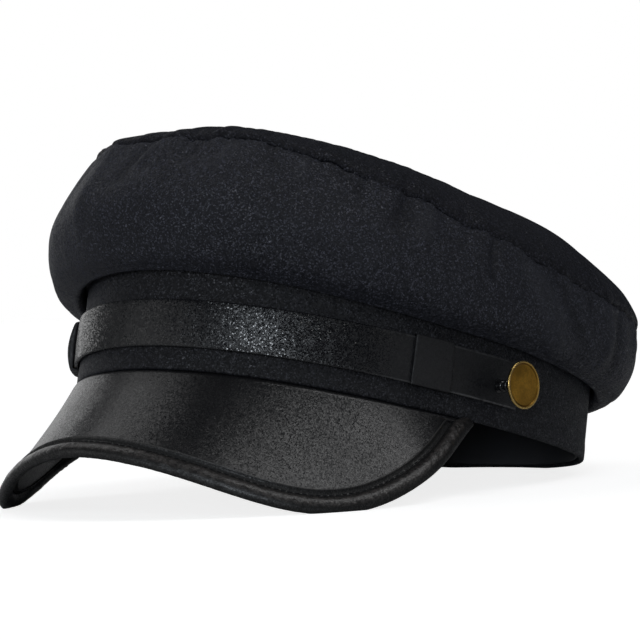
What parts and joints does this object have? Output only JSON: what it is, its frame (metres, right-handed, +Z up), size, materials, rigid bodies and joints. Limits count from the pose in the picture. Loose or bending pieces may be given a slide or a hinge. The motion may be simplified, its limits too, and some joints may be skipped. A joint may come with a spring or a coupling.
{
  "type": "cadet cap",
  "caption": "Soft cadet cap with a full cloth crown over a stiff band, a leather strap with metal buttons and an arched, bound leather peak.",
  "frame": {"origin": "middle of the cap's box, on the surface it rests on", "axes": "+Z up, -Y towards the wearer's front, +X to the wearer's left, with the cap leaning back as it rests"},
  "size_m": [0.1914, 0.2634, 0.1293],
  "materials": {
    "crown_cloth": "black twill with a faint sheen",
    "band_cloth": "black cloth",
    "lining": "smooth blue-black lining",
    "strap_leather": "black patent, glossy",
    "peak_leather": "black grained, satin",
    "button_brass": "antique brass with a bright rim"
  },
  "bodies": {
    "root": {"crown_side": "crown_cloth", "crown_top": "crown_cloth", "band": "band_cloth", "sweatband": "lining", "strap": "strap_leather", "strap_keeper_left": "strap_leather", "strap_keeper_right": "strap_leather", "button_left": "button_brass", "button_right": "button_brass", "peak": "peak_leather", "peak_binding": "peak_leather"}
  },
  "joints": []
}
